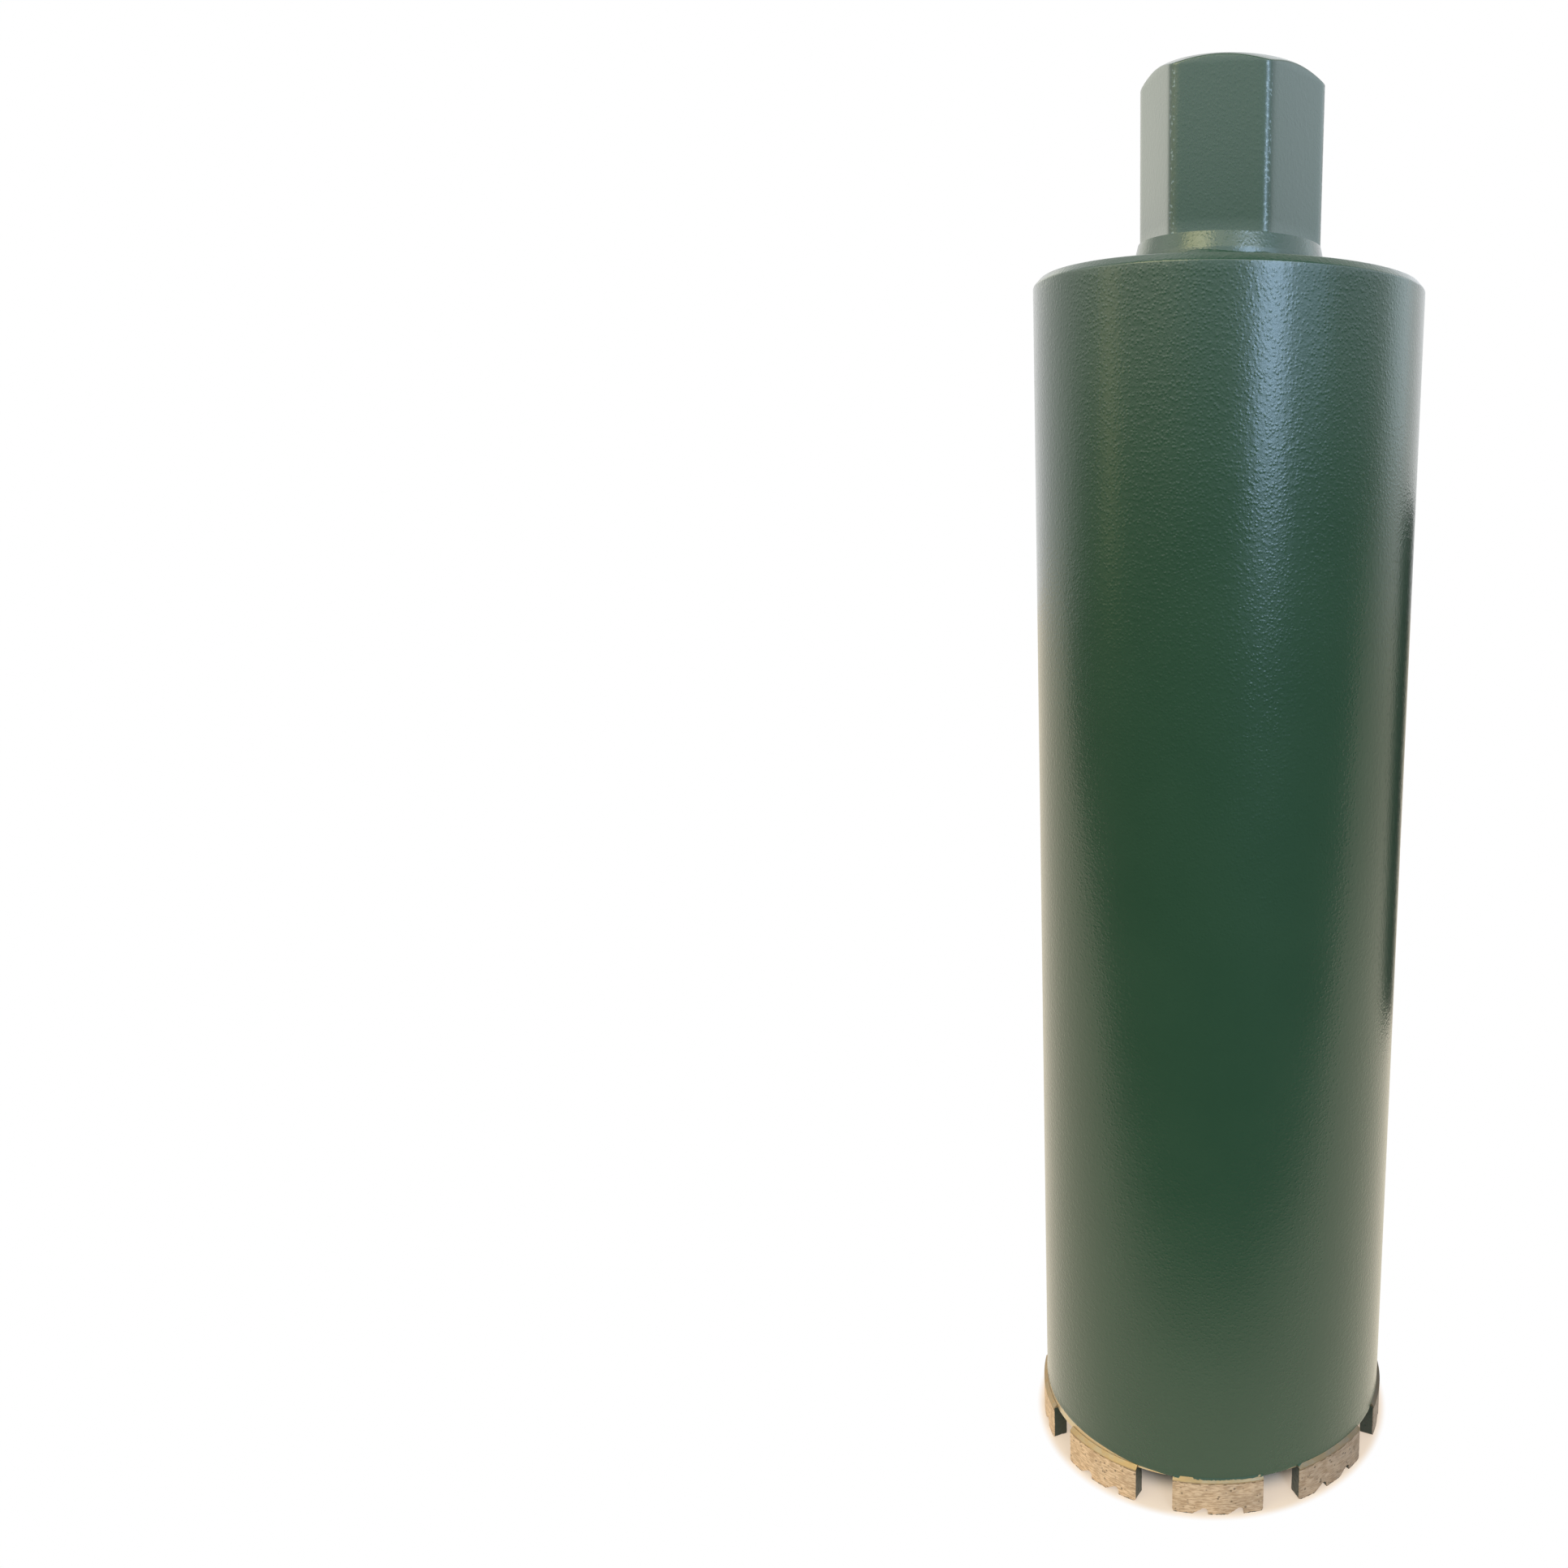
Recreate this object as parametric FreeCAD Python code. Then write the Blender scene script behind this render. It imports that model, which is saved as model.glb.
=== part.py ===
import FreeCAD, Part
import math
import os

# Diamond core bit standing on its cutting crown.
# Z is the axis of rotation, hub upwards, and Z = 0 is the plane of the cutting faces.
# All sizes are in millimetres and angles in degrees.

# Barrel tube
TUBE_OUTER_RADIUS = 50.0
TUBE_WALL = 2.5
TUBE_INNER_RADIUS = TUBE_OUTER_RADIUS - TUBE_WALL
TUBE_LENGTH = 306.0

# Crown of cutting segments, brazed to the open end of the tube
SEGMENT_COUNT = 9
SEGMENT_PITCH = 360.0 / SEGMENT_COUNT
SEGMENT_LENGTH = 24.0
SEGMENT_STAND_OUT = 1.0
SEGMENT_STAND_IN = 0.5
SEGMENT_OUTER_RADIUS = TUBE_OUTER_RADIUS + SEGMENT_STAND_OUT
SEGMENT_INNER_RADIUS = TUBE_INNER_RADIUS - SEGMENT_STAND_IN
SEGMENT_MEAN_RADIUS = (SEGMENT_OUTER_RADIUS + SEGMENT_INNER_RADIUS) / 2
SEGMENT_HALF_ANGLE = math.degrees(SEGMENT_LENGTH / SEGMENT_MEAN_RADIUS) / 2
SEGMENT_CORNER_RADIUS = 0.8
CROWN_PHASE = -79.8

# Two radial chip grooves across each cutting face: a sloping facet that runs
# into a round trough, with a steep wall on the other side
GROOVES_PER_SEGMENT = 2
GROOVE_WIDTH = 4.2
GROOVE_DEPTH = 1.9
TROUGH_RADIUS = 1.0

# Brazed joint between each segment and the tube, with a fillet on both ledges
CROWN_HEIGHT = 10.0
BRAZE_THICKNESS = 0.2
SEGMENT_HEIGHT = CROWN_HEIGHT - BRAZE_THICKNESS
BRAZE_FILLET_HEIGHT = 0.7

# End plate that closes the tube, with a spigot inside the tube
TUBE_TOP = CROWN_HEIGHT + TUBE_LENGTH
PLATE_RIM_THICKNESS = 5.3
PLATE_SPIGOT_DEPTH = 5.5
PLATE_TOP = TUBE_TOP + PLATE_RIM_THICKNESS
PLATE_BOTTOM = TUBE_TOP - PLATE_SPIGOT_DEPTH
PLATE_CHAMFER_WIDTH = 1.6
PLATE_CHAMFER_HEIGHT = 1.8

# Ground-flush weld in a V groove between tube and plate
RIM_WELD_DEPTH = 1.8
RIM_WELD_HALF_WIDTH = 1.5

# Drive hub: a hexagon on a round collar, with a spigot through the plate
HEX_ACROSS_FLATS = 41.0
HEX_LENGTH = 40.0
HEX_CORNER_RADIUS = 23.3
HEX_CHAMFER_INSET = 1.0
HEX_CHAMFER_START_RADIUS = HEX_ACROSS_FLATS / 2 - HEX_CHAMFER_INSET
HEX_CHAMFER_ANGLE = 30.0
COLLAR_LEDGE = 0.05
COLLAR_TAPER_WIDTH = 1.0
COLLAR_TAPER_HEIGHT = 4.0
COLLAR_TOP_RADIUS = HEX_CORNER_RADIUS + COLLAR_LEDGE
COLLAR_RADIUS = COLLAR_TOP_RADIUS + COLLAR_TAPER_WIDTH
COLLAR_HEIGHT = 9.4
COLLAR_TOP = PLATE_TOP + COLLAR_HEIGHT
HUB_TOP = COLLAR_TOP + HEX_LENGTH
HUB_SPIGOT_RADIUS = 18.0
HUB_WELD_LEG = 4.5

# Female thread of the hub, 1-1/4 in - 7 UNC, shown as its minor bore
THREAD_MINOR_RADIUS = 13.9
THREAD_LEAD_IN = 2.3

TINY = 0.01
UP = FreeCAD.Vector(0, 0, 1)
ORIGIN = FreeCAD.Vector(0, 0, 0)


def revolve(outline):
    """Turn a closed outline of (radius, height) points about the Z axis."""
    points = [FreeCAD.Vector(radius, 0, height) for radius, height in outline]
    face = Part.Face(Part.makePolygon(points + points[:1]))
    return face.revolve(ORIGIN, UP, 360)


def cylinder(radius, bottom, top):
    return Part.makeCylinder(radius, top - bottom, FreeCAD.Vector(0, 0, bottom))


def turned(shape, angle):
    """Copy of a shape turned about the Z axis."""
    copy = shape.copy()
    copy.rotate(ORIGIN, UP, angle)
    return copy


def sector(half_angle, bottom, top):
    """Wedge about the X direction that reaches past the outside of the crown."""
    reach = 2 * SEGMENT_OUTER_RADIUS
    side = reach * math.tan(math.radians(half_angle))
    corners = [(0, 0), (reach, -side), (reach, side)]
    points = [FreeCAD.Vector(x, y, bottom) for x, y in corners]
    return Part.Face(Part.makePolygon(points + points[:1])).extrude(UP * (top - bottom))


def make_barrel_tube():
    """Steel tube with its upper outer edge bevelled for the weld."""
    return revolve([
        (TUBE_INNER_RADIUS, CROWN_HEIGHT),
        (TUBE_OUTER_RADIUS, CROWN_HEIGHT),
        (TUBE_OUTER_RADIUS, TUBE_TOP - RIM_WELD_HALF_WIDTH),
        (TUBE_OUTER_RADIUS - RIM_WELD_DEPTH, TUBE_TOP),
        (TUBE_INNER_RADIUS, TUBE_TOP),
    ])


def make_end_plate():
    """Disc seated on the tube, with a spigot below and a chamfered rim above."""
    return revolve([
        (HUB_SPIGOT_RADIUS, PLATE_BOTTOM),
        (TUBE_INNER_RADIUS, PLATE_BOTTOM),
        (TUBE_INNER_RADIUS, TUBE_TOP),
        (TUBE_OUTER_RADIUS - RIM_WELD_DEPTH, TUBE_TOP),
        (TUBE_OUTER_RADIUS, TUBE_TOP + RIM_WELD_HALF_WIDTH),
        (TUBE_OUTER_RADIUS, PLATE_TOP - PLATE_CHAMFER_HEIGHT),
        (TUBE_OUTER_RADIUS - PLATE_CHAMFER_WIDTH, PLATE_TOP),
        (HUB_SPIGOT_RADIUS, PLATE_TOP),
    ])


def make_rim_weld():
    """Weld ring that fills the V groove and is ground flush with the tube."""
    return revolve([
        (TUBE_OUTER_RADIUS, TUBE_TOP - RIM_WELD_HALF_WIDTH),
        (TUBE_OUTER_RADIUS, TUBE_TOP + RIM_WELD_HALF_WIDTH),
        (TUBE_OUTER_RADIUS - RIM_WELD_DEPTH, TUBE_TOP),
    ])


def make_hexagon():
    """Hexagonal drive with a conical top and turned-down corners."""
    circumradius = HEX_ACROSS_FLATS / math.sqrt(3)
    points = []
    for corner in range(6):
        angle = math.radians(60 * corner)
        x = circumradius * math.cos(angle)
        y = circumradius * math.sin(angle)
        points.append(FreeCAD.Vector(x, y, COLLAR_TOP))
    prism = Part.Face(Part.makePolygon(points + points[:1])).extrude(UP * (HUB_TOP - COLLAR_TOP))
    slope = math.tan(math.radians(HEX_CHAMFER_ANGLE))
    chamfer_drop = (HEX_CORNER_RADIUS - HEX_CHAMFER_START_RADIUS) * slope
    turned_blank = revolve([
        (0, COLLAR_TOP),
        (HEX_CORNER_RADIUS, COLLAR_TOP),
        (HEX_CORNER_RADIUS, HUB_TOP - chamfer_drop),
        (HEX_CHAMFER_START_RADIUS, HUB_TOP),
        (0, HUB_TOP),
    ])
    return prism.common(turned_blank)


def make_collar():
    """Round collar that tapers in to the corners of the hexagon."""
    return revolve([
        (0, PLATE_TOP),
        (COLLAR_RADIUS, PLATE_TOP),
        (COLLAR_RADIUS, COLLAR_TOP - COLLAR_TAPER_HEIGHT),
        (COLLAR_TOP_RADIUS, COLLAR_TOP),
        (0, COLLAR_TOP),
    ])


def make_hub():
    """Hexagon, collar and spigot in one piece, bored right through."""
    spigot = cylinder(HUB_SPIGOT_RADIUS, PLATE_BOTTOM, PLATE_TOP)
    body = make_hexagon().fuse([make_collar(), spigot])
    bore = cylinder(THREAD_MINOR_RADIUS, PLATE_BOTTOM, HUB_TOP)
    mouth = revolve([
        (0, HUB_TOP - THREAD_LEAD_IN),
        (THREAD_MINOR_RADIUS, HUB_TOP - THREAD_LEAD_IN),
        (THREAD_MINOR_RADIUS + THREAD_LEAD_IN, HUB_TOP),
        (0, HUB_TOP),
    ])
    return body.cut(bore).cut(mouth).removeSplitter()


def make_hub_weld():
    """Fillet weld ring around the foot of the collar."""
    return revolve([
        (COLLAR_RADIUS, PLATE_TOP),
        (COLLAR_RADIUS + HUB_WELD_LEG, PLATE_TOP),
        (COLLAR_RADIUS, PLATE_TOP + HUB_WELD_LEG),
    ])


def make_groove():
    """Cutter for one chip groove, running outwards along the X direction."""
    edge = GROOVE_WIDTH / 2
    centre_y = edge - TROUGH_RADIUS
    centre_z = GROOVE_DEPTH - TROUGH_RADIUS
    run = centre_y + edge
    tilt = math.atan2(centre_z, run) + math.asin(TROUGH_RADIUS / math.hypot(run, centre_z))
    start = SEGMENT_INNER_RADIUS - TUBE_WALL

    def point(y, z):
        return FreeCAD.Vector(start, y, z)

    facet_start = point(-edge, 0)
    facet_end = point(centre_y - TROUGH_RADIUS * math.sin(tilt), centre_z + TROUGH_RADIUS * math.cos(tilt))
    trough_top = point(centre_y, GROOVE_DEPTH)
    wall_top = point(edge, centre_z)
    outline = Part.Wire([
        Part.makeLine(facet_start, facet_end),
        Part.Arc(facet_end, trough_top, wall_top).toShape(),
        Part.makeLine(wall_top, point(edge, -1)),
        Part.makeLine(point(edge, -1), point(-edge, -1)),
        Part.makeLine(point(-edge, -1), facet_start),
    ])
    length = SEGMENT_OUTER_RADIUS + TUBE_WALL - start
    return Part.Face(outline).extrude(FreeCAD.Vector(length, 0, 0))


def make_segment():
    """Cutting segment about the X direction, with its grooves and rounded ends."""
    ring = cylinder(SEGMENT_OUTER_RADIUS, 0, SEGMENT_HEIGHT)
    ring = ring.cut(cylinder(SEGMENT_INNER_RADIUS, 0, SEGMENT_HEIGHT))
    segment = ring.common(sector(SEGMENT_HALF_ANGLE, 0, SEGMENT_HEIGHT))
    end_edges = []
    for edge in segment.Edges:
        straight = len(edge.Vertexes) == 2 and isinstance(edge.Curve, Part.Line)
        if straight and edge.BoundBox.ZMax < TINY:
            end_edges.append(edge)
    segment = segment.makeFillet(SEGMENT_CORNER_RADIUS, end_edges)
    length = 2 * math.radians(SEGMENT_HALF_ANGLE) * SEGMENT_OUTER_RADIUS
    tooth_width = (length - GROOVES_PER_SEGMENT * GROOVE_WIDTH) / (GROOVES_PER_SEGMENT + 1)
    spacing = math.degrees((tooth_width + GROOVE_WIDTH) / SEGMENT_OUTER_RADIUS)
    groove = make_groove()
    for index in range(GROOVES_PER_SEGMENT):
        offset = index - (GROOVES_PER_SEGMENT - 1) / 2
        segment = segment.cut(turned(groove, offset * spacing))
    return segment


def make_braze():
    """Brazed joint about the X direction: a thin layer with a fillet each side."""
    ring = revolve([
        (SEGMENT_INNER_RADIUS, SEGMENT_HEIGHT),
        (SEGMENT_OUTER_RADIUS, SEGMENT_HEIGHT),
        (TUBE_OUTER_RADIUS, CROWN_HEIGHT + BRAZE_FILLET_HEIGHT),
        (TUBE_OUTER_RADIUS, CROWN_HEIGHT),
        (TUBE_INNER_RADIUS, CROWN_HEIGHT),
        (TUBE_INNER_RADIUS, CROWN_HEIGHT + BRAZE_FILLET_HEIGHT / 2),
    ])
    return ring.common(sector(SEGMENT_HALF_ANGLE, 0, 2 * CROWN_HEIGHT))


def write(name, shape):
    """Write one piece after testing that it is a single sound solid."""
    if len(shape.Solids) != 1 or not shape.isValid():
        raise ValueError(name + " is not one valid solid")
    shape.Solids[0].exportStep("parts/" + name + ".step")


os.makedirs("parts", exist_ok=True)
write("barrel_tube", make_barrel_tube())
write("end_plate", make_end_plate())
write("rim_weld", make_rim_weld())
write("hub", make_hub())
write("hub_weld", make_hub_weld())

segment_shape = make_segment()
braze_shape = make_braze()
for number in range(1, SEGMENT_COUNT + 1):
    direction = CROWN_PHASE + SEGMENT_PITCH * (number - 1)
    write("segment_%d" % number, turned(segment_shape, direction))
    write("braze_%d" % number, turned(braze_shape, direction))
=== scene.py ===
import math

import bpy
import numpy as np
from mathutils import Matrix, Vector, noise


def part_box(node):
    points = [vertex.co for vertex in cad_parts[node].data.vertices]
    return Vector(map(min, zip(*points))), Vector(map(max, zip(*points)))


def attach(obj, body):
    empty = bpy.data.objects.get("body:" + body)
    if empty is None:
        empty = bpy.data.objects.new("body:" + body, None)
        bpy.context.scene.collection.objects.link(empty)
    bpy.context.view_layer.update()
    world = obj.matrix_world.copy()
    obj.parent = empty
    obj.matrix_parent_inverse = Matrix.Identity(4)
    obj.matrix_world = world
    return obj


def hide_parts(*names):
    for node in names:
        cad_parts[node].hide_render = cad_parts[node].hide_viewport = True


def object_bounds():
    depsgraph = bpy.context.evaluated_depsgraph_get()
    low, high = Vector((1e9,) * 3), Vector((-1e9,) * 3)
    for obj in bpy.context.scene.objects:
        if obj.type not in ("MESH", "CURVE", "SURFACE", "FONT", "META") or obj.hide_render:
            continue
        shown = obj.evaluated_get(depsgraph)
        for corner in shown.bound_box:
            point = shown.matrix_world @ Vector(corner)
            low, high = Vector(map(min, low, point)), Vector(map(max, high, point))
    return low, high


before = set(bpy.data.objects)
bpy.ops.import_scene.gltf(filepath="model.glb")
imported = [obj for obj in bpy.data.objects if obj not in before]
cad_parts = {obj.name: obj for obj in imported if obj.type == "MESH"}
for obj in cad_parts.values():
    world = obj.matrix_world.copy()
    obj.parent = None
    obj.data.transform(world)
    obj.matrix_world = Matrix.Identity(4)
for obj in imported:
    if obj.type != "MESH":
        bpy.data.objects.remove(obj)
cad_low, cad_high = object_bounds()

# Diamond core bit standing on its crown: looks, light and camera.
# Lengths are in metres, in the frame of the CAD model, and angles in degrees.
MM = 0.001
WHITE = (1.0, 1.0, 1.0, 1.0)

# Camera, found by fitting the outlines in the photograph. The azimuth is counted
# from the front flat of the hexagon towards +X.
CAMERA_AZIMUTH = 7.6
CAMERA_DISTANCE = 354.8 * MM
CAMERA_HEIGHT = 265.6 * MM
CAMERA_PITCH = -11.91
CAMERA_YAW = 1.2
CAMERA_ROLL = 0.65
CAMERA_NEAREST = 10 * MM
CAMERA_FARTHEST = 20.0
PHOTO_SIZE = 1932
FOCAL_PIXELS = 1607.2
CENTRE_COLUMN = 1471.3

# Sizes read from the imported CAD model
tube_low, tube_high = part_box("barrel_tube")
plate_low, plate_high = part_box("end_plate")
weld_low, weld_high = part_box("rim_weld")
hub_low, hub_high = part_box("hub")
fillet_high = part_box("hub_weld")[1]
segment_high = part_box("segment_3")[1]
braze_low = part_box("braze_3")[0]
TUBE_RADIUS = tube_high.x
CROWN_RADIUS = cad_high.x
COLLAR_RADIUS = hub_high.x
SEGMENT_NODES = sorted(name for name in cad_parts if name.startswith("segment_"))
BRAZE_NODES = sorted(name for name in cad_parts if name.startswith("braze_"))

# Sizes that the frame doesn't hold
TUBE_WALL = 2.5 * MM
TUBE_INNER_RADIUS = TUBE_RADIUS - TUBE_WALL
PLATE_CHAMFER = (1.6 * MM, 1.8 * MM)
RIM_WELD_DEPTH = 1.8 * MM
HEX_HALF_WIDTH = 20.5 * MM
HEX_CORNER_RADIUS = 23.3 * MM
HEX_FOOT = plate_high.z + 9.4 * MM
HEX_CHAMFER_INSET = 1.0 * MM
HEX_CHAMFER_ANGLE = 30.0
COLLAR_TAPER = (1.0 * MM, 4.0 * MM)
SPIGOT_RADIUS = 18.0 * MM
BORE_CHAMFER = 0.3 * MM
THREAD_MINOR_RADIUS = 13.9 * MM
THREAD_MAJOR_RADIUS = 15.9 * MM
THREAD_MOUTH_RADIUS = THREAD_MINOR_RADIUS + 2.3 * MM
THREAD_PITCH = 25.4 / 7 * MM
THREAD_LENGTH = 42.0 * MM

# Eased edges of the turned pieces
SHARP_ANGLE = 35.0
PLATE_EASE = 0.35 * MM
HEX_CORNER_EASE = 0.25 * MM
HEX_TOP_EASE = 0.22 * MM

# Edge of the paint at the foot of the tube: lowest at one side, rising round the rest
PAINT_LOW_SIDE = -45.0
PAINT_LOW_SPAN = 48.0
PAINT_RISE = 0.062 * MM
PAINT_START = 0.04 * MM
PAINT_LOWEST = 0.06 * MM
PAINT_HIGHEST = 2.3 * MM
PAINT_EDGE_WANDER = 0.3 * MM
BEAD_SWELL = 0.15 * MM
STRIP_DEPTH = 0.06 * MM
STRIP_HEIGHT = 3.2 * MM
SHOULDER_PAINT_SIDE = -76.0
SHOULDER_PAINT_SPAN = 20.0

# Ripples of the weld round the collar, and the place where it runs highest
RIPPLE_COUNT = 76.0
RIPPLE_HEIGHT = 0.05 * MM
WELD_SWAY = 0.5 * MM
WELD_CREST_SIDE = -89.0
WELD_CREST_SPREAD = 0.25
WELD_CREST_HEIGHT = 0.6 * MM

# Bare face of the segments, its ragged edges, and the joint above it
BARE_DEPTH = 0.22 * MM
BARE_RAGGEDNESS = 0.3 * MM
LIP_RAGGEDNESS = 1.6 * MM
LIP_DROP = 0.55 * MM
JOINT_DEPTH = 0.35 * MM
JOINT_RAGGEDNESS = -0.5 * MM

# Wear of the segments
SEGMENT_GRAIN = 0.2 * MM
GROUND_DEPTH = 0.25 * MM
GROUND_LUMPS = 0.015 * MM
PAINTED_LUMPS = 0.05 * MM
HOLE_LIMIT = 0.33
HOLE_DEPTH = 0.25 * MM
SEAT_HEIGHT = 0.3 * MM
OUTLINE_MARGIN = 0.01 * MM

# Paint
PAINT_GREEN = (0.0120, 0.0390, 0.0185, 1.0)
PAINT_PALE = (0.0160, 0.0450, 0.0220, 1.0)
PAINT_IOR = 1.34
PAINT_ROUGHNESS = 0.22
PAINT_RELIEF = 0.08 * MM
HUB_RELIEF = 0.025 * MM
COAT_IOR = 1.43
COAT_ROUGHNESS = 0.25
# Green paint of the crown, darker than the tube's: painted shade on the segments' ends and faces
SHADED_CROWN_GREEN = (0.010, 0.023, 0.014, 1.0)
# Pale specks on the hexagon's corners: painted highlights
CORNER_HIGHLIGHT_SPECK = (0.11, 0.155, 0.15, 1.0)

# Bare metal
METAL_IOR = 1.6
CROWN_RELIEF = 0.04 * MM
CROWN_ROUGHNESS = 0.38
CROWN_METALLIC = 0.55
BRAZE_ROUGHNESS = 0.45
BRAZE_METALLIC = 0.8
# Painted light on the crown's bare metal: brighter and golden towards one side, painted shade grey on
# the other
PAINTED_LIGHT_SIDE = -150.0
PAINTED_LIGHT_TINT = (1.58, 1.49, 1.29, 1.0)
PAINTED_SHADE_TINT = (0.56, 0.59, 0.64, 1.0)
STRIP_GOLD = (0.72, 0.54, 0.30, 1.0)
STRIP_STEEL = (0.62, 0.53, 0.36, 1.0)
GOLD_BRAZE = (0.25, 0.175, 0.095, 1.0)
SILVER_BRAZE = (0.24, 0.19, 0.13, 1.0)
JOINT_BROWN = (0.07, 0.045, 0.025, 1.0)
GROUND_BOND = (0.30, 0.21, 0.14, 1.0)
PALE_BOND = (0.47, 0.36, 0.27, 1.0)
DARK_BOND = (0.08, 0.055, 0.035, 1.0)
DARK_STEEL = (0.30, 0.29, 0.27, 1.0)
PALE_STEEL = (0.44, 0.42, 0.39, 1.0)

# Scales of the surface patterns, in waves or cells to the metre
PAINT_CLOUD_SCALE = 40.0
PAINT_PEEL_SCALE = 900.0
PAINT_DROP_SCALE = 1150.0
TINT_SCALE = 150.0
STRIP_SCALE = 260.0
CROWN_PAINT_SCALE = 1100.0
GROUND_EDGE_SCALE = 700.0
SCRATCH_SCALE = 500.0
PATCH_SCALE = 320.0
PIT_SCALE = 620.0
JOINT_SCALE = 450.0
BRAZE_CLOUD_SCALE = 350.0
BRAZE_EDGE_SCALE = 900.0
BRAZE_LUMP_SCALE = 1500.0
BORE_EDGE_SCALE = 400.0
STEEL_SCALE = 200.0
HIGHLIGHT_SPECK_SCALE = 1200.0

# Floor: where its shadow, glow and fading begin and end, how strong they are, its colours
FLOOR_REACH = 3.0
FLOOR_FRONT = 235 * MM
FLOOR_FADE_START = 75 * MM
FLOOR_FADE_END = 215 * MM
FLOOR_DARK_END = 38 * MM
FLOOR_GLOW_START = 46 * MM
FLOOR_GLOW_END = 50.5 * MM
FLOOR_WHITE_START = 53.5 * MM
FLOOR_LEFT_START = 0.5
FLOOR_LEFT_SHIFT = 0.5
FLOOR_RIGHT_FADE = (0.25, 0.9)
FLOOR_RIGHT_DIMMING = 0.3
FLOOR_NEAR_SHARE = 0.65
FLOOR_FAR_SHARE = 0.35
FLOOR_COLOUR = (0.82, 0.68, 0.54, 1.0)
# Painted warm glow on the floor round the crown
FLOOR_GLOW = (0.92, 0.74, 0.58, 1.0)
FLOOR_WARM = (0.98, 0.89, 0.72, 1.0)

# Room: colours, the azimuths over which they change, and the heights of direction
ROOM_LOW = (0.10, 0.12, 0.10, 1.0)
ROOM_AHEAD = (1.92, 2.24, 2.42, 1.0)
ROOM_LEFT = (2.65, 2.7, 2.5, 1.0)
ROOM_RIGHT = (2.0, 2.2, 2.6, 1.0)
ROOM_TOP = (0.30, 0.40, 0.40, 1.0)
AHEAD_TO_LEFT = (-14.0, -42.0)
AHEAD_TO_RIGHT = (15.0, 55.0)
HIGH_TO_TOP = (0.36, 0.88)
LOW_TO_HIGH = (-0.02, 0.40)
BACKDROP_LEFT = (-80.0, -115.0)
BACKDROP_RIGHT = (85.0, 115.0)
BACKDROP_RIGHT_SHARE = 0.85

# Dark panel behind the bit
FLAG_COLOUR = (0.02, 0.02, 0.02, 1.0)
FLAG_AZIMUTHS = (121, 149)
FLAG_HEIGHTS = (0.0, 0.27)
FLAG_DISTANCE = 0.35


def feed(tree, socket, value):
    """Link a socket to another one, or give it a value."""
    if isinstance(value, bpy.types.NodeSocket):
        tree.links.new(value, socket)
    else:
        socket.default_value = value


def node(tree, kind, settings=None, **sockets):
    """Add a shader node; an underscore in a socket's name stands for a space."""
    made = tree.nodes.new(kind)
    for key, value in (settings or {}).items():
        setattr(made, key, value)
    for key, value in sockets.items():
        feed(tree, made.inputs[key.replace("_", " ")], value)
    return made


def calculate(tree, operation, *values):
    """Add a Math node and return its result."""
    made = tree.nodes.new("ShaderNodeMath")
    made.operation = operation
    for socket, value in zip(made.inputs, values):
        feed(tree, socket, value)
    return made.outputs["Value"]


def add(tree, first, second):
    """Sum of two values."""
    return calculate(tree, "ADD", first, second)


def subtract(tree, first, second):
    """First value less the second."""
    return calculate(tree, "SUBTRACT", first, second)


def multiply(tree, first, second):
    """Product of two values."""
    return calculate(tree, "MULTIPLY", first, second)


def less(tree, first, second):
    """1 where the first value is below the second, 0 elsewhere."""
    return calculate(tree, "LESS_THAN", first, second)


def more(tree, first, second):
    """1 where the first value is above the second, 0 elsewhere."""
    return calculate(tree, "GREATER_THAN", first, second)


def ramp_line(tree, factor, low, high, interpolation="LINEAR"):
    """Rise in a straight line from 0 at low to 1 at high."""
    settings = {"interpolation_type": interpolation}
    made = node(tree, "ShaderNodeMapRange", settings, Value=factor)
    made.inputs["From Min"].default_value = low
    made.inputs["From Max"].default_value = high
    return made.outputs["Result"]


def ramp(tree, factor, low, high):
    """Rise smoothly from 0 at low to 1 at high."""
    return ramp_line(tree, factor, low, high, "SMOOTHSTEP")


def blend(tree, factor, first, second, mode="MIX"):
    """Mix two colours."""
    made = tree.nodes.new("ShaderNodeMix")
    made.data_type = "RGBA"
    made.blend_type = mode
    feed(tree, made.inputs[0], factor)
    feed(tree, made.inputs[6], first)
    feed(tree, made.inputs[7], second)
    return made.outputs[2]


def noise_at(tree, place, scale, detail=2.0):
    """Cloudy pattern between 0 and 1."""
    made = node(tree, "ShaderNodeTexNoise", None, Vector=place, Scale=scale, Detail=detail)
    return made.outputs["Fac"]


def cells_at(tree, place, scale):
    """Distance from the middle of the nearest random cell."""
    return node(tree, "ShaderNodeTexVoronoi", None, Vector=place, Scale=scale).outputs["Distance"]


def bump(tree, height, distance):
    """Normal of a surface whose relief is the height times the distance."""
    made = node(tree, "ShaderNodeBump", None, Height=height, Strength=1.0, Distance=distance)
    return made.outputs["Normal"]


def radius_of(tree, place):
    """Distance from the bit's axis, and height."""
    parts = node(tree, "ShaderNodeSeparateXYZ", None, Vector=place)
    x_squared = calculate(tree, "POWER", parts.outputs["X"], 2.0)
    y_squared = calculate(tree, "POWER", parts.outputs["Y"], 2.0)
    radius = calculate(tree, "SQRT", add(tree, x_squared, y_squared))
    return radius, parts.outputs["Z"]


def side_of(tree, place, azimuth):
    """Cosine of the angle round the axis from the given azimuth, counted from +X."""
    parts = node(tree, "ShaderNodeSeparateXYZ", None, Vector=place)
    radius = radius_of(tree, place)[0]
    turn = math.radians(azimuth)
    along = add(tree, multiply(tree, parts.outputs["X"], math.cos(turn)),
                multiply(tree, parts.outputs["Y"], math.sin(turn)))
    return calculate(tree, "DIVIDE", along, radius)


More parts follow.
